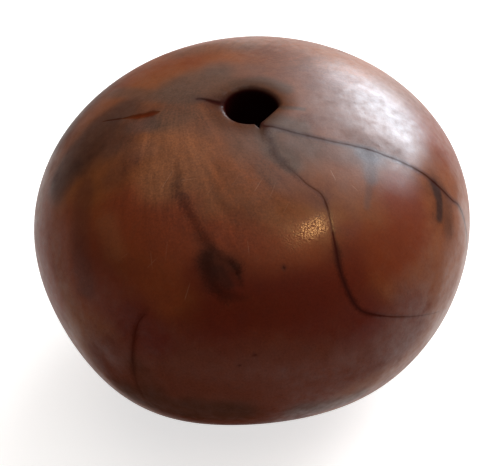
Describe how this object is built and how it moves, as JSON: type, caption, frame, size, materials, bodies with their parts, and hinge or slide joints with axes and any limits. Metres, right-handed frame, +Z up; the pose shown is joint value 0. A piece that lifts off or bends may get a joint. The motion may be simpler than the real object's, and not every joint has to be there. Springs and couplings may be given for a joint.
{
  "type": "ojime bead",
  "caption": "Lopsided oval amber bead, drilled through and ground flat underneath, that slides on paired cords to draw them tight.",
  "frame": {"origin": "middle of the flat ground foot, on the bore's axis", "axes": "+Z up the bore from the foot to the crown, +X to the right and +Y away as the bead is seen from the picture's side"},
  "size_m": [0.02, 0.02, 0.0157],
  "materials": {
    "amber": "hand-rubbed old amber, dark red-brown with darker clouds and age cracks, satin with a soft wax sheen"
  },
  "bodies": {
    "root": {"bead": "amber"}
  },
  "joints": []
}
